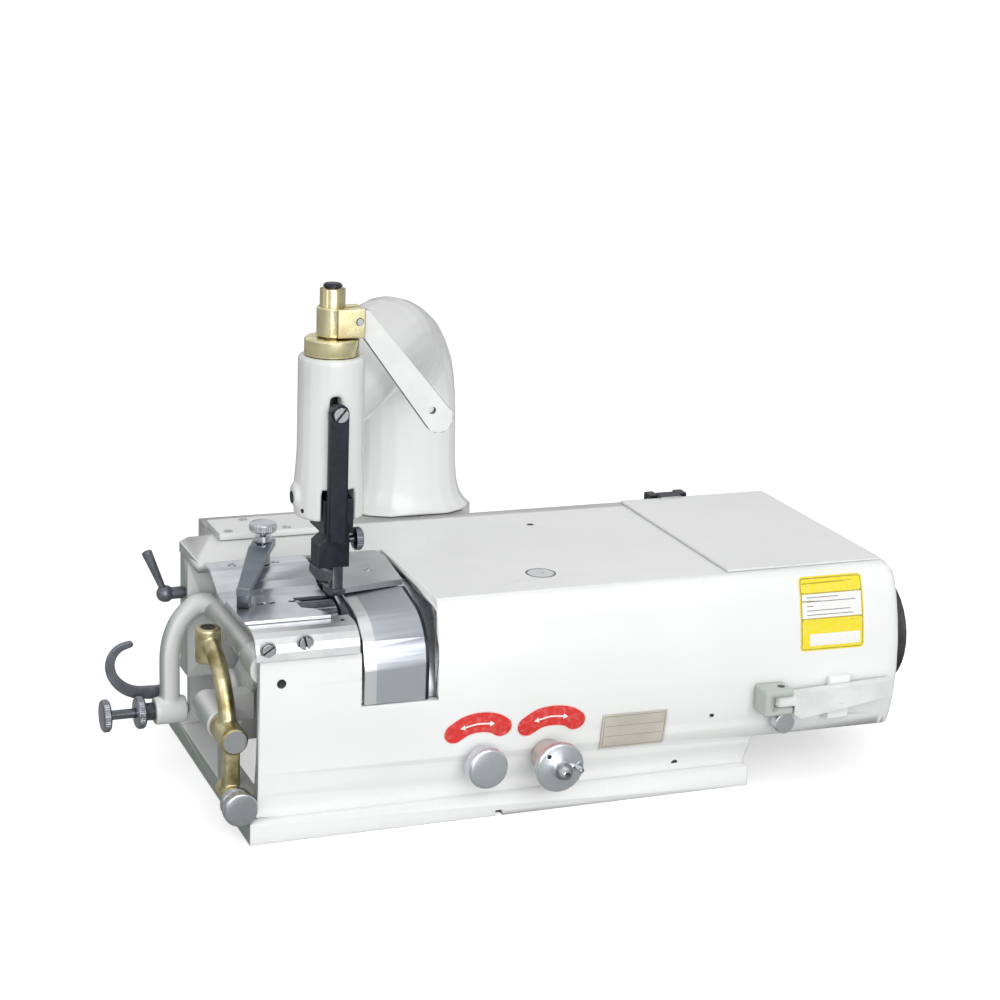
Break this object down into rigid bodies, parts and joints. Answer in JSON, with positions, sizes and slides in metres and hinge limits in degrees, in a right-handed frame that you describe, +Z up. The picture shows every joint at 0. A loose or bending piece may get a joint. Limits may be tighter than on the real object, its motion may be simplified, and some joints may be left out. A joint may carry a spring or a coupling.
{
  "type": "leather skiving machine head",
  "caption": "Bell-knife leather skiving machine head with presser arm, feed roller, grinding stone, edge guide and setting knobs.",
  "frame": {"origin": "middle of the underside of the base flange, on the web that stands on the bench plane", "axes": "+X along the body towards the belt pulley, +Y from the operator to the back, +Z up"},
  "size_m": [0.5505, 0.2932, 0.3468],
  "materials": {
    "enamel": "glossy stoved enamel on cast iron",
    "polished_steel": "bright plated and polished",
    "steel": "ground",
    "dark_steel": "darkened steel, polished on its edges",
    "black_steel": "blackened",
    "brass": "turned and worn",
    "stone": "vitrified grinding stone, matt",
    "rubber": "matt",
    "cast_black": "black paint"
  },
  "bodies": {
    "body": {"main_casting": "enamel", "arm_casting": "enamel", "table_bracket": "steel", "front_plate": "polished_steel", "guide_plate": "polished_steel", "back_plate": "polished_steel", "knife_cover_plate": "steel", "knife_guard": "polished_steel", "rear_plate": "enamel", "stone_knob_barrel": "steel", "feed_belt": "rubber", "belt_case": "enamel", "swing_pin": "steel", "bar_collar": "brass", "presser_spring": "steel", "guide_post": "steel", "lever_clevis": "enamel", "cover_hinge": "black_steel", "oil_sight": "steel", "data_plate": "steel"},
    "knife_sleeve": {"knife_quill": "dark_steel", "knife_bearing_front": "polished_steel", "knife_bearing_rear": "polished_steel"},
    "knife": {"bell_knife": "polished_steel", "knife_flange": "steel", "knife_shaft": "steel", "knife_pulley": "cast_black"},
    "knife_knob": {"knife_knob": "polished_steel"},
    "stone_sleeve": {"stone_carriage": "dark_steel"},
    "stone": {"grinding_stone": "stone", "stone_spindle": "steel", "stone_pulley": "cast_black"},
    "stone_knob": {"stone_knob": "polished_steel"},
    "feed_drive": {"feed_shaft": "steel", "feed_pulley": "cast_black"},
    "feed_roller": {"roller_shaft": "steel", "feed_roller": "dark_steel"},
    "presser": {"presser_bar": "brass", "bar_cap": "black_steel", "lifter_block": "brass", "lifter_pin": "steel", "presser_hanger": "black_steel", "hanger_screw": "steel"},
    "lifter_lever": {"lifter_lever": "enamel"},
    "presser_foot": {"presser_foot": "dark_steel"},
    "foot_screw": {"foot_screw": "dark_steel"},
    "swing_frame": {"swing_frame": "enamel"},
    "tilt_screw": {"tilt_screw": "dark_steel"},
    "lock_disc": {"lock_disc": "dark_steel"},
    "hook": {"hook": "dark_steel"},
    "ball_lever": {"ball_lever": "dark_steel"},
    "brass_lever": {"brass_lever": "brass"},
    "lever_knob": {"lever_knob": "polished_steel"},
    "guide_arm": {"guide_arm": "polished_steel"},
    "guide_thumb_screw": {"guide_thumb_screw": "polished_steel"},
    "stone_lever": {"stone_lever": "polished_steel"},
    "lever_roller": {"lever_roller": "polished_steel"},
    "top_cover": {"top_cover": "enamel"}
  },
  "joints": [
    {"name": "knife_slide", "type": "slide", "parent": "body", "child": "knife_sleeve", "axis": [1, 0, 0], "range_m": [0, 0.005]},
    {"name": "knife_spin", "type": "hinge", "parent": "knife_sleeve", "child": "knife", "pos_m": [-0.105, -0.041, 0.0805], "axis": [1, 0, 0], "continuous": true},
    {"name": "knife_knob_turn", "type": "hinge", "parent": "body", "child": "knife_knob", "pos_m": [-0.0215, -0.11, 0.04], "axis": [0, 1, 0], "range_deg": [0, 57.5]},
    {"name": "stone_slide", "type": "slide", "parent": "body", "child": "stone_sleeve", "axis": [1, 0, 0], "range_m": [-0.002, 0.006]},
    {"name": "stone_spin", "type": "hinge", "parent": "stone_sleeve", "child": "stone", "pos_m": [-0.103, 0.04, 0.0645], "axis": [1, 0, 0], "continuous": true},
    {"name": "stone_knob_turn", "type": "hinge", "parent": "body", "child": "stone_knob", "pos_m": [0.024, -0.11, 0.04], "axis": [0, 1, 0], "range_deg": [-23.2, 69]},
    {"name": "feed_spin", "type": "hinge", "parent": "body", "child": "feed_drive", "pos_m": [-0.1565, 0.02, 0.039], "axis": [1, 0, 0], "continuous": true},
    {"name": "roller_spin", "type": "hinge", "parent": "body", "child": "feed_roller", "pos_m": [-0.155, -0.06, 0.1285], "axis": [1, 0, 0], "continuous": true},
    {"name": "presser_lift", "type": "slide", "parent": "body", "child": "presser", "axis": [0, 0, 1], "range_m": [0, 0.006], "stiffness_N_per_m": 900, "springref_m": -0.01, "deforming": ["presser_spring"]},
    {"name": "lifter_turn", "type": "hinge", "parent": "presser", "child": "lifter_lever", "pos_m": [-0.0967, -0.06315, 0.324], "axis": [0, -1, 0], "range_deg": [0, 70.1]},
    {"name": "foot_height", "type": "slide", "parent": "presser", "child": "presser_foot", "axis": [0, 0, 1], "range_m": [-0.003, 0]},
    {"name": "foot_screw_turn", "type": "hinge", "parent": "presser", "child": "foot_screw", "pos_m": [-0.1142, -0.072, 0.185], "axis": [1, 0, 0], "range_deg": [-180, 180]},
    {"name": "swing_tilt", "type": "hinge", "parent": "body", "child": "swing_frame", "pos_m": [-0.1618, -0.0975, 0.112], "axis": [0, 1, 0], "range_deg": [-2, 2]},
    {"name": "tilt_screw_turn", "type": "hinge", "parent": "swing_frame", "child": "tilt_screw", "pos_m": [-0.239, 0.031, 0.041], "axis": [1, 0, 0], "range_deg": [-181, 181]},
    {"name": "lock_disc_turn", "type": "hinge", "parent": "swing_frame", "child": "lock_disc", "pos_m": [-0.216, 0.031, 0.041], "axis": [1, 0, 0], "range_deg": [-180, 180]},
    {"name": "hook_swing", "type": "hinge", "parent": "swing_frame", "child": "hook", "pos_m": [-0.1925, 0.0412, 0.05], "axis": [0, 1, 0], "range_deg": [0, 35]},
    {"name": "ball_lever_turn", "type": "hinge", "parent": "body", "child": "ball_lever", "pos_m": [-0.1915, 0.048, 0.118], "axis": [1, 0, 0], "range_deg": [-30, 45]},
    {"name": "brass_lever_turn", "type": "hinge", "parent": "body", "child": "brass_lever", "pos_m": [-0.18, -0.091, 0.063], "axis": [0, 1, 0], "range_deg": [0, 3]},
    {"name": "lever_knob_turn", "type": "hinge", "parent": "brass_lever", "child": "lever_knob", "pos_m": [-0.181, -0.1115, 0.025], "axis": [0, 1, 0], "range_deg": [-180, 180]},
    {"name": "guide_arm_slide", "type": "slide", "parent": "body", "child": "guide_arm", "axis": [-0.441, -0.8975, 0], "range_m": [-0.0075, 0.0035]},
    {"name": "guide_screw_turn", "type": "hinge", "parent": "body", "child": "guide_thumb_screw", "pos_m": [-0.138, -0.002, 0.1656], "axis": [0, 0, 1], "range_deg": [-180, 180]},
    {"name": "stone_lever_turn", "type": "hinge", "parent": "body", "child": "stone_lever", "pos_m": [0.1855, -0.12853, 0.059], "axis": [0, 0, -1], "range_deg": [0, 40]},
    {"name": "lever_roller_spin", "type": "hinge", "parent": "body", "child": "lever_roller", "pos_m": [0.191, -0.1282, 0.05], "axis": [0, 1, 0], "continuous": true},
    {"name": "top_cover_turn", "type": "hinge", "parent": "body", "child": "top_cover", "pos_m": [0.187, 0.082, 0.1512], "axis": [-1, 0, 0], "range_deg": [0, 100]}
  ],
  "couplings": [
    {"joint": "knife_knob_turn", "follows": "knife_slide", "rad_per_m": 200},
    {"joint": "stone_knob_turn", "follows": "stone_slide", "rad_per_m": 200},
    {"joint": "roller_spin", "follows": "feed_spin", "ratio": 2.3333},
    {"joint": "lifter_turn", "follows": "presser_lift", "rad_per_m": 203},
    {"joint": "tilt_screw_turn", "follows": "swing_tilt", "ratio": 90}
  ]
}
